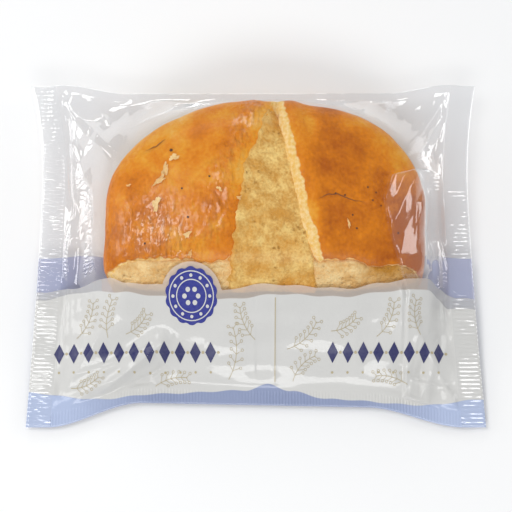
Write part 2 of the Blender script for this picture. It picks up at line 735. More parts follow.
def ray_at(p):
    """Foot and direction of the ray at p, 0 to 4 round the bun: along the
    spine facing the rear, a fan round its left end, along it facing the
    front, and a fan round its right end."""
    q = np.mod(p, 4.0)
    along = np.clip(np.where(q < 2.0, q, 3.0 - q), 0.0, 1.0)
    foot = BUN_X + SPINE * (1.0 - 2.0 * along)
    turned = np.clip(q - 1.0, 0.0, 1.0) + np.clip(q - 3.0, 0.0, 1.0)
    angle = np.pi * (0.5 + turned)
    return foot, np.cos(angle), np.sin(angle)


def bun_rings(p, top, side, bottom):
    """Points of the plain form on rays p: rings over the top spaced as a sine,
    rings down the side at even heights, and rings in to the spine below."""
    foot, c, s = (value[None, :] for value in ray_at(p))
    outline = reach(lambda d: bun_share(BUN_FORM, foot + d * c, BUN_Y + d * s) < 1.0, foot)
    spread = np.sin(np.linspace(0.0, np.pi / 2, top))[:, None]
    r_top = outline * spread
    z_top = dome(BUN_FORM, foot + r_top * c, BUN_Y + r_top * s)
    z_top[-1] = EQUATOR
    z_side = np.linspace(EQUATOR, BUN_BOTTOM + 3.0, side + 1)[1:, None] + 0.0 * foot
    share = (1.0 - ((EQUATOR - z_side) / (EQUATOR - BUN_BOTTOM)) ** SIDE_POWER) ** (1 / SIDE_POWER)
    r_side = reach(lambda d: bun_share(BUN_FORM, foot + d * c, BUN_Y + d * s) < share, share)
    r_bottom = r_side[-1:] * np.linspace(1.0, 0.0, bottom + 1)[1:, None]
    z_bottom = lower_height(bun_share(BUN_FORM, foot + r_bottom * c, BUN_Y + r_bottom * s))
    r = np.concatenate([r_top, r_side, r_bottom])
    return foot + r * c, BUN_Y + r * s, np.concatenate([z_top, z_side, z_bottom])


def lift_points(x, y, z, lift):
    """Points moved out of the plain form by lift, then leaned at the front."""
    points = np.stack([x, y, z], axis=-1) + bun_normal(x, y, z) * lift[..., None]
    return np.stack(lean_front(points[..., 0], points[..., 1], points[..., 2]), axis=-1)


def on_crust(x, y, lift, bun):
    """Points that lie lift above the finished crust, over the plan x, y."""
    z = dome(BUN_FORM, x, y)
    return lift_points(x, y, z, crust_relief(x, y, z, bun) + lift)


# ---- node helpers -------------------------------------------------------

def node(tree, kind, inputs=(), **settings):
    """Adds a shader node, sets it up, and sets or links its inputs."""
    made = tree.nodes.new("ShaderNode" + kind)
    for name, value in settings.items():
        setattr(made, name, value)
    for key, value in dict(inputs).items():
        if isinstance(value, bpy.types.NodeSocket):
            tree.links.new(value, made.inputs[key])
        else:
            made.inputs[key].default_value = value
    return made


def math_node(tree, operation, a, b):
    return node(tree, "Math", {0: a, 1: b}, operation=operation).outputs[0]


def product(tree, a, b):
    return math_node(tree, "MULTIPLY", a, b)


def mix_colour(tree, factor, a, b):
    return node(tree, "Mix", {0: factor, 6: a, 7: b}, data_type="RGBA").outputs[2]


def mix_value(tree, factor, a, b):
    return node(tree, "Mix", {0: factor, 2: a, 3: b}).outputs[0]


def remap(tree, value, low, high, start=0.0, end=1.0):
    """start to end as a value runs from low to high, held at both ends."""
    return node(tree, "MapRange", {0: value, 1: low, 2: high, 3: start, 4: end}).outputs[0]


def step_field(tree, value, width, start=0.0):
    """0 to 1 as a value passes start, over the given width."""
    return remap(tree, value, start - width / 2, start + width / 2)


def noise_node(tree, place, scale, detail):
    """Noise texture with scale features each metre, 0 to 1."""
    return node(tree, "TexNoise", {"Vector": place, "Scale": scale, "Detail": detail}).outputs[0]


def bump_node(tree, strength, distance, height):
    """Normal of a relief with the given height, distance in metres."""
    return node(tree, "Bump", {
        "Strength": strength, "Distance": distance, "Height": height}).outputs[0]


def varied(tree, value, texture, amount):
    """value plus amount times how far a 0 to 1 texture is from its middle."""
    return node(tree, "Math", {0: math_node(tree, "SUBTRACT", texture, 0.5), 1: amount, 2: value},
                operation="MULTIPLY_ADD").outputs[0]


def field(tree, name):
    return node(tree, "Attribute", attribute_name=name).outputs["Fac"]


def ramp(tree, value, stops):
    """Colour ramp through (place, colour) stops."""
    made = node(tree, "ValToRGB", {0: value})
    elements = made.color_ramp.elements
    elements[0].position, elements[0].color = stops[0][0], stops[0][1]
    elements[1].position, elements[1].color = stops[-1][0], stops[-1][1]
    for place, colour in stops[1:-1]:
        elements.new(place).color = colour
    return made.outputs[0]


def opaque(colour):
    return (*colour, 1.0)


def new_tree(name):
    """A material with nothing in it but its output."""
    material = bpy.data.materials.new(name)
    material.use_nodes = True
    tree = material.node_tree
    tree.nodes.clear()
    return material, tree


def finish_tree(tree, shader):
    node(tree, "OutputMaterial", {"Surface": shader})


def object_place(tree):
    return node(tree, "TexCoord").outputs["Object"]


def group_tree(name, given, made, build):
    """The node group of this name. The first time it is made with one given
    number, the made sockets as name and type, and what build links to them."""
    if name in bpy.data.node_groups:
        return bpy.data.node_groups[name]
    tree = bpy.data.node_groups.new(name, "ShaderNodeTree")
    tree.interface.new_socket(given, in_out="INPUT", socket_type="NodeSocketFloat")
    for label, kind in made:
        tree.interface.new_socket(label, in_out="OUTPUT", socket_type="NodeSocket" + kind)
    results = build(tree, tree.nodes.new("NodeGroupInput").outputs[0])
    out = tree.nodes.new("NodeGroupOutput")
    for result, socket in zip(results, out.inputs):
        tree.links.new(result, socket)
    return tree


def film_wrinkles(tree, strength):
    """Normal of fine wrinkles: drawn-out noise with a net of soft cells."""
    drawn = node(tree, "Mapping", {0: object_place(tree), "Scale": (1.0, 0.55, 0.7)}).outputs[0]
    soft = noise_node(tree, drawn, 240.0, 2.0)
    cells = node(tree, "TexVoronoi", {"Vector": drawn, "Scale": 190.0},
                 feature="SMOOTH_F1").outputs[0]
    height = math_node(tree, "ADD", product(tree, soft, 0.6), product(tree, cells, 0.5))
    return (bump_node(tree, 1.0, 0.0006, product(tree, strength, height)),)


def bread_pores(tree, scale):
    """Height and deep pits of pores: cells of two sizes on bent coordinates,
    with the pits under a mottled cover."""
    place = object_place(tree)
    bent = node(tree, "TexNoise", {"Vector": place, "Scale": 420.0, "Detail": 3.0}).outputs[1]
    shift = node(tree, "VectorMath", {0: bent, 3: 0.0016}, operation="SCALE").outputs[0]
    moved = node(tree, "VectorMath", {0: place, 1: shift}, operation="ADD").outputs[0]
    cells, small = (node(tree, "TexVoronoi", {"Vector": moved, "Scale": size}).outputs[0]
                    for size in (scale, product(tree, scale, 2.3)))
    cover = noise_node(tree, place, 160.0, 4.0)
    height = math_node(tree, "ADD", product(tree, cells, 0.7), product(tree, small, 0.3))
    deep = remap(tree, cells, 0.26, 0.1)
    seldom = step_field(tree, cover, 0.12, 0.56)
    return height, product(tree, deep, seldom)


def wrinkle_group():
    return group_tree("Film wrinkles", "Strength", (("Normal", "Vector"),), film_wrinkles)


def bread_group():
    return group_tree("Bread pores", "Pores each metre",
                      (("Height", "Float"), ("Pits", "Float")), bread_pores)


# ---- materials ----------------------------------------------------------

FILM_IOR = 1.37          # of the film's mirror share, which is 2.4 % seen straight on
LAID_SHINE = 0.3         # share of the mirror left where the film clings to the bun
LOOSE_SHINE = 4.5        # times the mirror share where it is loose
LAID_ROUGH, LOOSE_ROUGH = 0.28, 0.05
INNER_MIRROR = 0.03      # mirror share for light that meets the film from inside
FILM_WRINKLES, INK_WRINKLES = 0.35, 0.5
HAZE_COLOUR = (0.9, 0.92, 0.95, 1.0)
WHITE, WORN_INK = (1.0, 1.0, 1.0, 1.0), (0.8, 0.8, 0.85, 1.0)
INK_SOFTNESS = 0.25      # of a printed edge, in millimetres


def film_material(name, clear, zones, haze=0.003, shine=LOOSE_SHINE):
    """Clear film that is inked in zones. Each zone is (field, cover, colour):
    where the named field is above 0, the ink has that cover. Loose film lies
    double or crumpled, so it mirrors shine times as much."""
    material, tree = new_tree(name)
    cover, colour = haze, HAZE_COLOUR
    for zone, share, ink in zones:
        inside = step_field(tree, field(tree, zone), INK_SOFTNESS)
        cover = mix_value(tree, inside, cover, share)
        colour = mix_colour(tree, inside, colour, opaque(ink))
    normal = node(tree, "Group", {0: FILM_WRINKLES}, node_tree=wrinkle_group()).outputs[0]
    see = node(tree, "BsdfTransparent", {0: opaque(clear)}).outputs[0]
    ink = node(tree, "BsdfPrincipled", {
        "Base Color": colour, "Roughness": 0.45, "Specular IOR Level": 0.2, "Normal": normal,
    }).outputs[0]
    body = node(tree, "MixShader", {0: cover, 1: see, 2: ink}).outputs[0]
    rough = remap(tree, field(tree, "loose"), 0.0, 1.0, LAID_ROUGH, LOOSE_ROUGH)
    mirror = node(tree, "BsdfGlossy", {
        "Color": WHITE, "Roughness": rough, "Normal": normal}).outputs[0]
    times = remap(tree, field(tree, "loose"), 0.0, 1.0, LAID_SHINE, shine)
    outside = product(tree, node(tree, "Fresnel", {"IOR": FILM_IOR}).outputs[0], times)
    behind = node(tree, "NewGeometry").outputs["Backfacing"]
    share = mix_value(tree, behind, outside, INNER_MIRROR)
    finish_tree(tree, node(tree, "MixShader", {0: share, 1: body, 2: mirror}).outputs[0])
    return material


def panel_zones(film):
    """Inks of the upper film, from the bun's side to the fin."""
    return (
        ("tint", 0.55, film.veil_ink),
        ("wing", 0.6, film.white_ink),
        ("white", 1.0, film.white_ink),
        ("band", 1.0, film.band_ink),
        ("band_end", 1.0, film.end_ink),
    )


def ink_material(name, ink):
    """Solid glossy ink over the panel, a little patchy."""
    material, tree = new_tree(name)
    patchy = noise_node(tree, object_place(tree), 900.0, 2.0)
    colour = mix_colour(tree, product(tree, patchy, 0.08), opaque(ink), WORN_INK)
    normal = node(tree, "Group", {0: INK_WRINKLES}, node_tree=wrinkle_group()).outputs[0]
    shader = node(tree, "BsdfPrincipled", {
        "Base Color": colour, "Roughness": 0.3, "Normal": normal,
        "Specular IOR Level": 0.3}).outputs[0]
    finish_tree(tree, shader)
    return material


def crust_material(bun):
    """Glazed crust: its bake field runs from pale to dark, with mottles, a
    pale torn lip, fine creases in the glaze and a thin glossy coat."""
    material, tree = new_tree("Glazed crust")
    place = object_place(tree)
    mottle = noise_node(tree, place, 130.0, 6.0)
    speckle = noise_node(tree, place, 800.0, 3.0)
    bake = varied(tree, varied(tree, field(tree, "bake"), mottle, 0.8), speckle, 0.45)
    baked = ramp(tree, bake, (
        (0.0, opaque(bun.crust_pale)), (0.35, opaque(bun.crust_light)),
        (0.6, opaque(bun.crust_mid)), (1.0, opaque(bun.crust_dark))))
    lip = step_field(tree, varied(tree, field(tree, "lip"), speckle, 0.8), 0.5, 0.5)
    pale = remap(tree, speckle, 0.35, 0.65)
    torn = mix_colour(tree, pale, opaque(bun.crust_pale), opaque(bun.crumb_colour))
    colour = mix_colour(tree, lip, baked, torn)
    wrinkled = field(tree, "wrinkle")
    drawn = node(tree, "Mapping", {0: place, "Scale": (1.0, 0.45, 0.6)}).outputs[0]
    ripple = noise_node(tree, drawn, 620.0, 2.0)
    cells = node(tree, "TexVoronoi", {"Vector": drawn, "Scale": 560.0}).outputs[0]
    creases = product(tree, math_node(tree, "ADD", ripple, cells), wrinkled)
    pores = noise_node(tree, place, 700.0, 4.0)
    relief = math_node(tree, "ADD", product(tree, pores, 0.8), product(tree, creases, 4.0))
    normal = bump_node(tree, 0.8, 0.0005, relief)
    rough = mix_value(tree, lip, remap(tree, mottle, 0.3, 0.7, 0.34, 0.5), 0.85)
    coat = remap(tree, wrinkled, 0.3, 0.9, 0.04, 1.0)
    coat = product(tree, math_node(tree, "SUBTRACT", 1.0, lip), coat)
    broken = remap(tree, ripple, 0.44, 0.56, 0.2, 1.0)
    coat = product(tree, broken, coat)
    shader = node(tree, "BsdfPrincipled", {
        "Base Color": colour, "Roughness": rough, "Normal": normal, "Specular IOR Level": 0.12,
        "Coat Weight": coat, "Coat Roughness": 0.08, "Coat IOR": 1.75}).outputs[0]
    finish_tree(tree, shader)
    return material


def bread_material(name, colour, dark, toasted, pores, depth, rough):
    """Matt bread or paste with pores: mottled colour, darker in the pits, and
    browned where the toast field says so."""
    material, tree = new_tree(name)
    place = object_place(tree)
    group = node(tree, "Group", {0: pores}, node_tree=bread_group())
    height, pits = group.outputs
    mottle = noise_node(tree, place, 190.0, 5.0)
    grain = noise_node(tree, place, 1100.0, 3.0)
    tone = remap(tree, varied(tree, mottle, grain, 0.8), 0.32, 0.68)
    darker = mix(np.array(colour), np.array(dark), 0.7)
    shade = mix_colour(tree, tone, opaque(colour), opaque(darker))
    toast = varied(tree, field(tree, "toast"), mottle, 1.2)
    shade = mix_colour(tree, toast, shade, opaque(toasted))
    shade = mix_colour(tree, product(tree, pits, 0.8), shade, opaque(dark))
    relief = math_node(tree, "ADD", height, product(tree, grain, 0.4))
    relief = math_node(tree, "SUBTRACT", relief, product(tree, pits, 0.7))
    normal = bump_node(tree, 0.8, depth, relief)
    shader = node(tree, "BsdfPrincipled", {
        "Base Color": shade, "Roughness": rough, "Normal": normal,
        "Specular IOR Level": 0.25}).outputs[0]
    finish_tree(tree, shader)
    return material


def burnt_material(name, colour):
    """Matt dark material with a fine grain, for the specks and the cracks."""
    material, tree = new_tree(name)
    grain = noise_node(tree, object_place(tree), 1500.0, 3.0)
    colour = mix_colour(tree, grain, opaque(np.array(colour) * 0.8), opaque(colour))
    normal = bump_node(tree, 0.5, 0.0002, grain)
    shader = node(tree, "BsdfPrincipled", {
        "Base Color": colour, "Roughness": 0.7, "Normal": normal}).outputs[0]
    finish_tree(tree, shader)
    return material


# ---- settings -----------------------------------------------------------

def length_setting(name, text, value):
    return FloatProperty(name=name, description=text, default=value, unit="LENGTH", precision=5)


def colour_setting(name, text, srgb):
    """Colour given as the 0 to 255 numbers of a picture, kept as linear light."""
    share = np.array(srgb) / 255.0
    linear = np.where(share <= 0.04045, share / 12.92, ((share + 0.055) / 1.055) ** 2.4)
    return FloatVectorProperty(name=name, description=text, default=tuple(linear.tolist()),
                               subtype="COLOR", min=0.0, max=1.0)


class FilmSettings(bpy.types.PropertyGroup):
    """Sizes and colours of the film pack."""
    crinkle: length_setting("Crinkle", "Height of the crumpling beside the bun", 0.0034)
    ridge_pitch: length_setting("Ridge pitch", "Distance between crimp ridges", 0.0015)
    ridge_height: length_setting("Ridge height", "Half height of a crimp ridge", 0.00018)
    clear: colour_setting("Clear film", "What the upper film lets through", (250, 250, 251))
    lower_clear: colour_setting("Lower film", "What the lower film lets through", (250, 250, 250))
    white_ink: colour_setting("Panel", "Ink of the front panel", (213, 212, 209))
    veil_ink: colour_setting("Veil", "Thin ink along the panel's upper edge", (228, 216, 206))
    band_ink: colour_setting("Band", "Ink of the band along the fin", (147, 158, 190))
    end_ink: colour_setting("Band ends", "Ink of the band towards its two ends", (180, 193, 223))
    back_ink: colour_setting("Back", "Ink of the lower film", (167, 174, 211))
    badge_ink: colour_setting("Badge", "Ink of the round badge", (32, 42, 140))
    mark_ink: colour_setting("Marks", "Ink of the row of marks", (30, 32, 92))
    sprig_ink: colour_setting("Sprigs", "Ink of the thin line drawings", (186, 172, 136))


class BunSettings(bpy.types.PropertyGroup):
    """Sizes and colours of the bun."""
    wrinkle: length_setting("Wrinkle", "Height of the wrinkles in the glaze", 0.0005)
    groove: length_setting("Groove", "Depth of the strip under the right lobe", 0.0021)
    crust_pale: colour_setting("Pale crust", "Crust at the pale rims", (242, 196, 104))
    crust_light: colour_setting("Light crust", "Crust where it is lightly baked", (238, 162, 48))
    crust_mid: colour_setting("Crust", "Crust over most of the bun", (228, 134, 24))
    crust_dark: colour_setting("Dark crust", "Crust where it is darkest", (180, 92, 18))
    paste_colour: colour_setting("Strip", "Baked flour paste", (252, 216, 134))
    paste_dark: colour_setting("Strip pits", "Pits of the paste", (196, 136, 48))
    crumb_colour: colour_setting("Crumb", "Torn crumb", (254, 222, 160))
    crumb_dark: colour_setting("Crumb pits", "Pores of the crumb", (240, 182, 106))


class StageSettings(bpy.types.PropertyGroup):
    """Camera, floor and lamps."""
    distance: length_setting("Distance", "From the camera to the pack", 0.61)
    elevation: FloatProperty(name="Elevation", description="Height of the view above the floor",
                             default=math.radians(80.0), subtype="ANGLE")
    lens: FloatProperty(name="Lens", description="Focal length of the camera in millimetres",
                        default=121.5, min=1.0)
    floor: colour_setting("Floor", "The plain floor", (250, 250, 250))
    lamps: FloatProperty(name="Lamps", description="Strength of all lamps together",
                         default=1.0, min=0.0)
    sky: FloatProperty(name="Sky", description="Strength of the even light all round",
                       default=0.44, min=0.0)


# ---- the film -----------------------------------------------------------

def zone_fields(x, y):
    """Distances into each ink zone, in millimetres, and how loose the film
    is: 0 where it lies on the bun, 1 off it and in the pouch."""
    off = smooth(0.97, 1.1, bun_share(FILM_FORM, x, y))
    tint, band = tint_edge(x) - y, band_edge(x) - y
    return {
        "loose": np.maximum(off, 0.8 * smooth(0.0, 0.8, pouch_depth(x, y))),
        "tint": tint,
        "wing": np.minimum(tint, np.abs(x - BUN_X) - FILM_FORM.half_width),
        "white": white_edge(x) - y,
        "band": band,
        "band_end": np.minimum(band, (np.abs(x) - BAND_FADE_X) / BAND_FADE),
        "back": back_edge(x) - y,
        "pouch": pouch_depth(x, y),
    }


# Columns and rows of the meshes.
WINDOW_GRID, PANEL_GRID, REAR_GRID = (360, 180), (360, 90), (360, 6)
FIN_GRID, SEAL_GRID, LOWER_GRID = (720, 16), (20, 700), (220, 170)


class BUN_OT_film(bpy.types.Operator):
    """Make the clear film, its printed panel, the seals and the lower film"""
    bl_idname = "bunpack.film"
    bl_label = "Film pack"

    def execute(self, context):
        film = context.scene.bun_film
        clear = film_material("Clear film", film.clear, (("pouch", 0.015, film.white_ink),))
        panel = film_material("Printed film", film.clear, panel_zones(film), shine=1.0)
        sealed = film_material("Sealed film", film.clear, panel_zones(film), haze=0.1)
        back = film_material("Lower film", film.lower_clear, (("back", 0.8, film.back_ink),),
                             haze=0.05)
        ends, body = (front_edge, rear_edge), (left_seal, right_seal)
        parts = (
            ("film_window", body, (tint_edge, rear_line), WINDOW_GRID, clear, "film"),
            ("film_panel", body, (fin_line, tint_edge), PANEL_GRID, panel, "print"),
            ("rear_fold", body, (rear_line, rear_edge), REAR_GRID, clear, "film"),
            ("fin_seal", body, (front_edge, fin_line), FIN_GRID, panel, "print"),
            ("seal_left", (left_edge, left_seal), ends, SEAL_GRID, sealed, "film"),
            ("seal_right", (right_seal, right_edge), ends, SEAL_GRID, sealed, "film"),
        )
        for name, sides, bounds, grid, material, slot in parts:
            x, y = plan_grid(*sides, *bounds, *grid)
            z = upper_film(x, y, film)
            if grid == SEAL_GRID:
                z = z + seal_ridges(x, y, film.ridge_pitch / MM, film.ridge_height / MM)
            if grid == FIN_GRID:
                z = z + fin_ripples(x, y)
            sheet_piece(name, x, y, z, material, zone_fields(x, y))
        x, y = plan_grid(left_edge, right_edge, *ends, *LOWER_GRID)
        sheet_piece("lower_film", x, y, lower_film(x, y), back,
                                  zone_fields(x, y), down=True)
        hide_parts("bun_pack")
        return {"FINISHED"}


# ---- print on the panel -------------------------------------------------

INK_LIFT = 0.12          # above the film, in millimetres


def panel_heights(film):
    """Heights of the panel's own mesh, row by row."""
    return upper_film(*plan_grid(left_seal, right_seal, fin_line, tint_edge, *PANEL_GRID), film)


def on_panel(x, y, grid_z):
    """Height of the panel's mesh at plan points, read from its heights."""
    columns, rows = PANEL_GRID
    s = (x - left_seal(y)) / (right_seal(y) - left_seal(y)) * (columns - 1)
    t = (y - fin_line(x)) / (tint_edge(x) - fin_line(x)) * (rows - 1)
    s, t = np.clip(s, 0, columns - 1.001), np.clip(t, 0, rows - 1.001)
    i, j = s.astype(int), t.astype(int)
    s, t = s - i, t - j
    low = mix(grid_z[j, i], grid_z[j, i + 1], s)
    high = mix(grid_z[j + 1, i], grid_z[j + 1, i + 1], s)
    return mix(low, high, t)


def patches(shapes):
    """Joins (x, y) grids of one layout into stacked arrays and their faces."""
    x = np.stack([shape[0] for shape in shapes])
    y = np.stack([shape[1] for shape in shapes])
    rows, columns = x.shape[1:]
    one = grid_faces(rows, columns)
    starts = np.arange(len(shapes))[:, None, None] * rows * columns
    return x, y, (one[None] + starts).reshape(-1, 4)


def ribbon(path_x, path_y, width):
    """Thin band along a plan curve: each point is moved half the width to
    both sides of the curve."""
    dx, dy = np.gradient(path_x), np.gradient(path_y)
    length = np.hypot(dx, dy)
    side = np.array([0.5, -0.5])[:, None] * width
    return path_x - dy / length * side, path_y + dx / length * side


def disc(x, y, inner, outer, lobes=0, depth=0.0, rows=8, columns=97):
    """Ring or disc of plan points, with a scalloped rim if it has lobes. The
    radius runs inwards by row, so that the faces look up."""
    angle = np.linspace(0.0, 2 * np.pi, columns)[None, :]
    rim = outer - depth * np.abs(np.cos(lobes * angle / 2)) ** 3 if lobes else outer
    radius = mix(rim, inner, np.linspace(0.0, 1.0, rows)[:, None])
    return x + radius * np.cos(angle), y + radius * np.sin(angle)


def lozenge(x, y, wide, tall):
    """Diamond: a square grid turned on its corner."""
    s = np.linspace(-0.5, 0.5, 15)[None, :]
    t = np.linspace(-0.5, 0.5, 15)[:, None]
    return x + (s - t) * wide / 2 * 2 ** 0.5, y + (s + t) * tall / 2 * 2 ** 0.5


def ink_piece(name, shapes, panel, material, lift=INK_LIFT):
    """Ink shapes draped over the panel, given by its heights, as one piece."""
    x, y, faces = patches(shapes)
    points = np.stack([x, y, on_panel(x, y, panel) + lift], axis=-1).reshape(-1, 3)
    return make_piece(name, points, faces, material)


ROW_Y, ROW_TALL, ROW_WIDE, ROW_STEP = -36.0, 5.0, 2.7, 5.4
RULE_Y = -42.6
LAP_LINE = (6.7, -18.5, -46.0)   # x and both ends' y


class BUN_OT_print(bpy.types.Operator):
    """Make the badge, the row of marks and the thin sprigs on the panel"""
    bl_idname = "bunpack.print"
    bl_label = "Print"

    def execute(self, context):
        film = context.scene.bun_film
        badge_ink = ink_material("Badge ink", film.badge_ink)
        mark_ink = ink_material("Mark ink", film.mark_ink)
        sprig_ink = ink_material("Sprig ink", film.sprig_ink)
        pale_ink = ink_material("Pale ink", film.white_ink)
        panel = panel_heights(film)
        x, y, radius = BADGE
        ink_piece("badge", [disc(x, y, 0.05, radius, lobes=14, depth=0.55, rows=16, columns=169)],
                  panel, badge_ink)
        rings = [disc(x, y, radius * share - 0.17, radius * share + 0.17, rows=3)
                 for share in (0.84, 0.56)]
        ink_piece("badge_rings", rings, panel, pale_ink, INK_LIFT + 0.08)
        turns = np.arange(12) * 2 * np.pi / 12
        beads = [disc(x + 0.7 * radius * math.cos(a), y + 0.7 * radius * math.sin(a),
                      0.02, 0.55, rows=3, columns=17) for a in turns]
        beads += [disc(x + 0.26 * radius * math.cos(a), y + 0.26 * radius * math.sin(a),
                       0.02, 0.8, rows=3, columns=17) for a in turns[::2]]
        ink_piece("badge_beads", beads, panel, pale_ink, INK_LIFT + 0.08)

        marks, dots = [], []
        for start, count in ((-70.0, 11), (27.0, 8)):
            for k in range(count):
                place = start + k * ROW_STEP
                marks.append(lozenge(place, ROW_Y, ROW_WIDE, ROW_TALL))
                dots.append(disc(place + ROW_STEP / 2, ROW_Y, 0.02, 0.5, rows=3, columns=17))
                dots.append(disc(place, RULE_Y, 0.02, 0.42, rows=3, columns=17))
        ink_piece("mark_row", marks, panel, mark_ink)
        ink_piece("dot_rows", dots, panel, sprig_ink)
        self.sprigs(panel, sprig_ink)
        return {"FINISHED"}

    @staticmethod
    def sprigs(panel, material):
        """Curved stems with pairs of round berries on short stalks, and the
        thin line where the panel's two sides overlap."""
        lap = np.linspace(LAP_LINE[1], LAP_LINE[2], 33)
        stems, berries = [ribbon(0.0 * lap + LAP_LINE[0], lap, 0.3)], []
        for foot_x, foot_y, length, lean, bend in SPRIGS:
            t = np.linspace(0.0, 1.0, 33)
            angle = math.radians(lean) + bend * (t - 0.5)
            step = length / 32
            x = foot_x + np.cumsum(np.cos(angle)) * step
            y = foot_y + np.cumsum(np.sin(angle)) * step
            stems.append(ribbon(x, y, 0.2))
            for k in range(6, 32, 5):
                for side in (-1, 1):
                    out = angle[k] + side * 0.9
                    reach_out = np.linspace(0.0, 1.0, 33) * mix(2.6, 1.4, t[k])
                    stems.append(ribbon(x[k] + reach_out * math.cos(out),
                                        y[k] + reach_out * math.sin(out), 0.15))
                    tip = reach_out[-1] + 0.5
                    berries.append(disc(x[k] + tip * math.cos(out), y[k] + tip * math.sin(out),
                                        0.36, 0.52, rows=3, columns=17))
        ink_piece("sprig_stems", stems, panel, material)
        ink_piece("sprig_berries", berries, panel, material)


# Foot, length, lean in degrees and bend in radians of each stem.
SPRIGS = (
    (-64.0, -31.0, 14.0, 62.0, 0.9),
    (-52.0, -31.5, 13.0, 82.0, -0.7),
    (-46.0, -30.0, 10.0, 40.0, 0.8),
    (-66.0, -48.0, 11.0, 20.0, 0.9),
    (-36.0, -47.5, 12.0, 15.0, -0.8),
    (-10.0, -45.5, 18.0, 84.0, 0.9),
    (0.0, -32.0, 12.0, 118.0, -0.8),
    (10.5, -35.0, 14.0, 40.0, 0.9),
    (13.0, -46.0, 12.0, 48.0, -1.0),
    (26.0, -29.0, 10.0, 25.0, 0.9),
    (42.0, -31.0, 13.0, 62.0, 1.0),
    (58.0, -30.5, 12.0, 100.0, -0.9),
    (54.0, -47.0, 12.0, 165.0, 0.8),
)


# ---- the bun ------------------------------------------------------------

def bake_field(x, y, z):
    """How far the crust is baked, 0 pale to 1 dark: darker at the front of
    the left lobe and at the right, pale along the rear rims."""
    share = bun_share(BUN_FORM, x, y)
    rim = smooth(0.74, 0.97, share)
    bake = 0.55 + 0.16 * noise(x, y, z, 16.0, 51) + 0.08 * noise(x, y, z, 5.0, 52)
    bake = bake + 0.16 * smooth(-6.0, -45.0, x) * smooth(28.0, -2.0, y)
    bake = bake + 0.26 * smooth(18.0, 24.0, x) + 0.2 * smooth(36.0, 54.0, x) * smooth(30.0, 10.0, y)
    bake = bake - 0.3 * bell(x, strip_left(y) - 2.0, 3.5) * smooth(8.0, 34.0, y)
    bake = bake - 0.3 * rim * smooth(22.0, 38.0, y) * smooth(-6.0, -30.0, x)
    bake = bake - 0.42 * rim * smooth(16.0, 34.0, y) * smooth(20.0, 46.0, x)
    bake = bake - 0.3 * smooth(22.0, 8.0, z)
    return bake + 0.25 * smooth(4.0, 1.0, z)


# Rays round the bun and rings along them, as bun_rings takes them.
CRUST_RAYS = ((0.0, 150), (1.0, 130), (2.0, 150), (3.0, 130))   # start and count
TORN_RAYS = (1.42, 3.58, 440)   # first, last and count
CRUST_RINGS, TORN_RINGS = (84, 34, 8), (84, 44, 1)


class BUN_OT_crust(bpy.types.Operator):
    """Make the bun's crust, with the groove for the strip and the torn front"""
    bl_idname = "bunpack.crust"
    bl_label = "Crust"

    def execute(self, context):
        bun = context.scene.bun_body
        p = np.concatenate([start + np.arange(count) / count for start, count in CRUST_RAYS])
        x, y, z = bun_rings(p, *CRUST_RINGS)
        points = lift_points(x, y, z, crust_relief(x, y, z, bun))
        right = strip_right(y)
        lobe_edge = right + lip_width(y)
        lip = smooth(right - 2.0, right - 0.6, x) * smooth(lobe_edge + 0.5, lobe_edge - 0.6, x)
        lip = np.maximum(lip * smooth(15.0, 22.0, z), torn_share(x, y, z))
        fields = {"bake": bake_field(x, y, z), "lip": lip, "wrinkle": wrinkle_share(x, y)}
        faces = grid_faces(*x.shape, wrap=True)[:, ::-1]
        flat = points.reshape(-1, 3)
        first, triangles = weld(flat, faces)
        kept = {name: values.reshape(-1)[first] for name, values in fields.items()}
        make_piece("bun_crust", flat[first], triangles, crust_material(bun), kept)
        return {"FINISHED"}


# The strip's front and rear end, in radians over the bun, and where between
# them it has its whole height; rows and columns of its mesh.
STRIP_TURN, STRIP_WHOLE = (-1.52, 1.40), (-1.32, 1.30)
STRIP_GRID = (200, 80)
HANG_DROP = -0.6         # how deep it lies in the bun where it hangs down in front
STRIP_BACK, TORN_BACK = 5.0, 4.5   # how deep the backs of strip and crumb are hidden


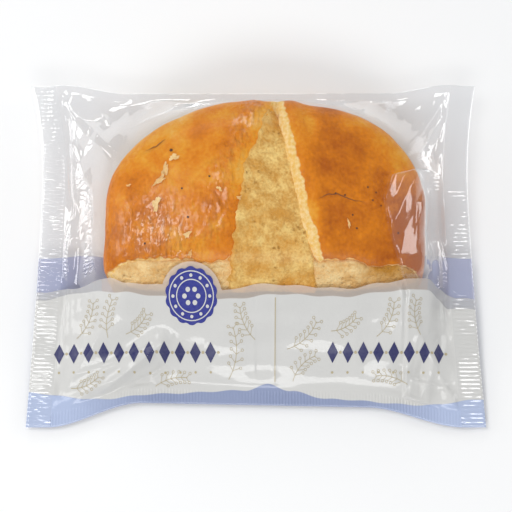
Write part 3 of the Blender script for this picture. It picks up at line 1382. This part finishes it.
class BUN_OT_strip(bpy.types.Operator):
    """Make the strip of baked flour paste that lies over the bun"""
    bl_idname = "bunpack.strip"
    bl_label = "Paste strip"

    def execute(self, context):
        bun = context.scene.bun_body
        turn = np.linspace(*STRIP_TURN, STRIP_GRID[0])[:, None]
        across = np.linspace(0.0, 1.0, STRIP_GRID[1])[None, :]
        x = BUN_X + 0.0 * turn * across
        y = x
        for _ in range(SETTLING):
            x = mix(strip_left(y) - 1.0, strip_right(y) + 1.2, across)
            behind = np.sin(turn) > 0.0
            form_depth = np.where(behind, BUN_FORM.rear, BUN_FORM.front)
            power = np.where(behind, REAR_RIGHT_POWER, BUN_FORM.front_power)
            narrow = (1.0 - (np.abs(x - BUN_X) / BUN_FORM.half_width) ** power) ** (1.0 / power)
            y = BUN_Y + form_depth * narrow * np.sin(turn)
        x, y, z = lean_front(x, y, dome(BUN_FORM, x, y))
        lumps = 0.40 * noise(x, y, z, 6.0, 61) + 0.35 * noise(x, y, z, 2.6, 62) \
            + 0.25 * noise(x, y, z, 1.2, 63)
        edge = 1.0 - smooth(0.0, 0.08, across) * smooth(1.0, 0.96, across)
        front_end, rear_end = zip(STRIP_TURN, STRIP_WHOLE)
        ends = 1.0 - smooth(*front_end, turn) * smooth(*rear_end, turn)
        hang = smooth(-1.0, -6.5, y)
        drop = mix(strip_drop(x, y, bun), HANG_DROP, hang)
        lift = swell(x, y, z) - drop + lumps - mix(1.6, 2.2, hang) * edge - 4.0 * ends
        front = lift_points(x, y, z, lift)
        back = lift_points(x, y, z, 0.0 * lift - STRIP_BACK)
        toast = 0.15 + 0.45 * noise(x, y, z, 9.0, 64) + 0.35 * smooth(0.16, 0.0, across) \
            + 0.15 * smooth(12.0, -4.0, y) + 0.15 * smooth(34.0, 44.0, y)
        toasted = mix(np.array(bun.paste_dark), np.array(bun.crust_light), 0.55)
        material = bread_material("Baked paste", bun.paste_colour, bun.paste_dark, toasted,
                                  420.0, 0.0008, 0.8)
        slab_piece("paste_strip", front, back, material, {"toast": toast})
        return {"FINISHED"}


# Scraps on the crust: x, y, length, width and turn in degrees.
FLAKES = (
    (-28.2, 29.0, 3.4, 2.2, 10.0), (-31.4, 24.4, 5.4, 2.0, 75.0), (-33.4, 20.8, 4.2, 1.8, 35.0),
    (-34.2, 12.6, 5.4, 2.2, 80.0), (-23.4, 1.6, 2.8, 1.7, 40.0), (-22.5, -4.6, 2.0, 1.2, 80.0),
    (-5.6, 14.2, 2.0, 1.2, 20.0), (-12.6, 17.4, 2.4, 1.0, 140.0), (31.8, 5.5, 3.2, 0.8, 100.0),
    (-44.0, 20.0, 1.6, 0.8, 15.0), (6.5, 46.0, 2.8, 1.6, 0.0),
)
# Dark spots and pinholes: x, y and radius.
SPECKS = (
    (-29.4, 32.0, 0.65), (-25.5, 17.9, 0.4), (-23.3, 7.7, 0.45), (3.1, 40.9, 0.4),
    (38.5, 18.5, 0.35), (40.2, 14.0, 0.35), (41.4, 16.8, 0.3), (43.0, 12.2, 0.3),
    (27.4, 16.0, 0.4), (30.6, 15.5, 0.35), (34.6, 4.0, 0.4), (33.2, 8.6, 0.35),
    (-16.0, 22.0, 0.4), (-38.0, -1.0, 0.4), (49.0, 3.0, 0.4),
)


class BUN_OT_crumb(bpy.types.Operator):
    """Make the torn crumb at the front, the loose flakes and the dark specks"""
    bl_idname = "bunpack.crumb"
    bl_label = "Crumb and flakes"

    def execute(self, context):
        bun = context.scene.bun_body
        material = bread_material("Torn crumb", bun.crumb_colour, bun.crumb_dark, bun.paste_dark,
                                  560.0, 0.0009, 0.85)
        self.torn_front(material)
        self.flakes(bun, material)
        self.specks(bun)
        return {"FINISHED"}

    @staticmethod
    def torn_front(material):
        """Lumpy patch over the bun's leaning front. Its rims sink inside."""
        x, y, z = bun_rings(np.linspace(*TORN_RAYS), *TORN_RINGS)
        x, y, z = x[40:-2], y[40:-2], z[40:-2]
        lumps = 0.5 * noise(x, y, z, 8.0, 71) - 0.6 * np.abs(noise(x, y, z, 4.0, 72)) \
            - 0.4 * np.abs(noise(x, y, z, 1.7, 73))
        lumps = lumps - 0.8 * smooth(46.0, 54.0, np.abs(x - BUN_X))
        shown = torn_share(x, y, z)
        rows, columns = x.shape
        s = np.linspace(0.0, 1.0, columns)[None, :]
        t = np.linspace(0.0, 1.0, rows)[:, None]
        rim = smooth(0.0, 0.03, s) * smooth(1.0, 0.97, s) * smooth(0.0, 0.04, t) \
            * smooth(1.0, 0.92, t)
        lift = mix(-3.0, lumps, shown * rim)
        front = lift_points(x, y, z, lift)
        back = lift_points(x, y, z, 0.0 * lift - TORN_BACK)
        under_crust = smooth(-4.5, -0.5, y - torn_edge(x))
        toast = 0.3 * under_crust + 0.8 * smooth(28.0, 48.0, x) + 0.3 * noise(x, y, z, 7.0, 74)
        slab_piece("torn_crumb", front[::-1], back[::-1], material,
                   {"toast": toast[::-1]})

    @staticmethod
    def flakes(bun, material):
        """Small curled scraps: ovals with a ragged rim, which is raised."""
        shapes = []
        for x0, y0, length, width, turn in FLAKES:
            u, v = disc(0.0, 0.0, 0.02, 0.5, rows=6, columns=33)
            around = np.arctan2(v, u)
            ragged = 1.0 + 0.22 * np.sin(3.0 * around + x0) \
                + 0.16 * np.sin(5.0 * around + 2.0 * y0) + 0.12 * np.sin(8.0 * around + x0 + y0)
            u, v = u * length * ragged, v * width * ragged
            turn = math.radians(turn)
            shapes.append((x0 + u * math.cos(turn) - v * math.sin(turn),
                           y0 + u * math.sin(turn) + v * math.cos(turn)))
        x, y, faces = patches(shapes)
        outward = np.linspace(1.0, 0.0, 6)[None, :, None]
        points = on_crust(x, y, 0.2 + 0.4 * outward ** 2, bun)
        make_piece("crust_flakes", points.reshape(-1, 3), faces, material)

    @staticmethod
    def specks(bun):
        """Dark spots, small uneven discs just above the crust, and a thin
        brown line along each open crack."""
        dark = burnt_material("Burnt specks", (0.09, 0.03, 0.01))
        split = burnt_material("Split crust", (0.26, 0.09, 0.025))
        shapes = [disc(x, y, 0.02, r, lobes=5, depth=0.3 * r, rows=3, columns=31)
                  for x, y, r in SPECKS]
        x, y, faces = patches(shapes)
        points = on_crust(x, y, 0.0 * x + 0.1, bun)
        make_piece("crust_specks", points.reshape(-1, 3), faces, dark)
        lines = []
        for path in CRACKS[:OPEN_CRACKS]:
            stops = np.linspace(0.0, 1.0, len(path))
            t = np.linspace(0.0, 1.0, 40)
            path_x, path_y = (np.interp(t, stops, row) for row in zip(*path))
            wobble = 0.25 * noise(path_x, path_y, 0 * t, 1.5, 81)
            lines.append(ribbon(path_x, path_y + wobble, 0.26 * np.sin(np.pi * t) + 0.08))
        x, y, faces = patches(lines)
        points = on_crust(x, y, 0.0 * x + 0.3, bun)
        make_piece("crust_cracks", points.reshape(-1, 3), faces, split)


# ---- the stage ----------------------------------------------------------

TARGET = (0.0, -2.35 * MM, 15.0 * MM)   # the point that the camera looks at
FLOOR_HALF = 2.0         # half of the floor's side, in metres
# Soft lamps: name, azimuth and elevation in degrees, distance, width and
# height in metres, and brightness of the surface. Azimuth 0 is behind the
# pack, 90 to the right. The rear lamp and the two windows are low, so that
# the loose film beside the bun mirrors them.
LAMPS = (
    ("lamp_left", -65.0, 60.0, 0.9, 0.40, 0.36, 4.3),
    ("lamp_front", 185.0, 44.0, 1.0, 0.70, 0.30, 5.7),
    ("lamp_rear", -12.0, 26.0, 1.0, 0.50, 0.20, 4.0),
    ("window_left", -78.0, 22.0, 0.8, 0.30, 0.26, 3.4),
    ("window_right", 72.0, 22.0, 0.8, 0.30, 0.26, 3.4),
)


class BUN_OT_stage(bpy.types.Operator):
    """Make the camera, the lamps, the sky and the floor"""
    bl_idname = "bunpack.stage"
    bl_label = "Stage"

    def execute(self, context):
        stage = context.scene.bun_stage
        self.camera(context.scene, stage)
        for lamp in LAMPS:
            self.lamp(context.scene, stage, *lamp)
        world = bpy.data.worlds.new("Studio")
        world.use_nodes = True
        sky = world.node_tree.nodes["Background"]
        sky.inputs["Color"].default_value = (0.96, 0.98, 1.0, 1.0)
        sky.inputs["Strength"].default_value = stage.sky
        context.scene.world = world
        context.scene.view_settings.view_transform = "Standard"
        context.scene.cycles.max_bounces = 6
        material, tree = new_tree("Floor")
        shader = node(tree, "BsdfPrincipled", {
            "Base Color": opaque(stage.floor), "Roughness": 0.9, "Specular IOR Level": 0.0})
        finish_tree(tree, shader.outputs[0])
        mesh = bpy.data.meshes.new("floor")
        corners = [(x * FLOOR_HALF, y * FLOOR_HALF, 0)
                   for x, y in ((-1, -1), (1, -1), (1, 1), (-1, 1))]
        mesh.from_pydata(corners, [], [(0, 1, 2, 3)])
        mesh.materials.append(material)
        floor = bpy.data.objects.new("floor", mesh)
        context.scene.collection.objects.link(floor)
        return {"FINISHED"}

    @staticmethod
    def camera(scene, stage):
        data = bpy.data.cameras.new("camera")
        data.lens, data.sensor_width = stage.lens, 36.0
        data.clip_start, data.clip_end = 0.01, 10.0
        camera = bpy.data.objects.new("camera", data)
        x, y, z = TARGET
        camera.location = (x, y - stage.distance * math.cos(stage.elevation),
                           z + stage.distance * math.sin(stage.elevation))
        camera.rotation_euler = (math.pi / 2 - stage.elevation, 0.0, 0.0)
        scene.collection.objects.link(camera)
        scene.camera = camera

    @staticmethod
    def lamp(scene, stage, name, azimuth, elevation, distance, wide, tall, brightness):
        data = bpy.data.lights.new(name, "AREA")
        data.shape, data.size, data.size_y = "RECTANGLE", wide, tall
        data.energy = math.pi * wide * tall * brightness * stage.lamps
        lamp = bpy.data.objects.new(name, data)
        a, e = math.radians(azimuth), math.radians(elevation)
        lamp.location = (distance * math.sin(a) * math.cos(e),
                         distance * math.cos(a) * math.cos(e), distance * math.sin(e))
        lamp.rotation_euler = (math.pi / 2 - e, 0.0, math.pi - a)
        scene.collection.objects.link(lamp)


class BUN_PT_sidebar(bpy.types.Panel):
    """Lists the steps and their settings"""
    bl_idname = "BUN_PT_sidebar"
    bl_label = "Packed bun"
    bl_space_type = "VIEW_3D"
    bl_region_type = "UI"
    bl_category = "Bun"

    def draw(self, context):
        scene = context.scene
        for step in STEPS:
            self.layout.operator(step.bl_idname)
        for settings in (scene.bun_film, scene.bun_body, scene.bun_stage):
            box = self.layout.box()
            for name in settings.__annotations__:
                box.prop(settings, name)


STEPS = (BUN_OT_stage, BUN_OT_film, BUN_OT_print, BUN_OT_crust, BUN_OT_strip, BUN_OT_crumb)
SETTINGS = (FilmSettings, BunSettings, StageSettings)


def register():
    for entry in (*SETTINGS, *STEPS, BUN_PT_sidebar):
        bpy.utils.register_class(entry)
    bpy.types.Scene.bun_film = PointerProperty(type=FilmSettings)
    bpy.types.Scene.bun_body = PointerProperty(type=BunSettings)
    bpy.types.Scene.bun_stage = PointerProperty(type=StageSettings)


def unregister():
    del bpy.types.Scene.bun_stage
    del bpy.types.Scene.bun_body
    del bpy.types.Scene.bun_film
    for entry in reversed((*SETTINGS, *STEPS, BUN_PT_sidebar)):
        bpy.utils.unregister_class(entry)


def main():
    """Runs every step in order, and keeps the model's box beside the CAD's."""
    register()
    bpy.ops.bunpack.stage()
    bpy.ops.bunpack.film()
    bpy.ops.bunpack.print()
    bpy.ops.bunpack.crust()
    bpy.ops.bunpack.strip()
    bpy.ops.bunpack.crumb()


if __name__ == "__main__":
    main()
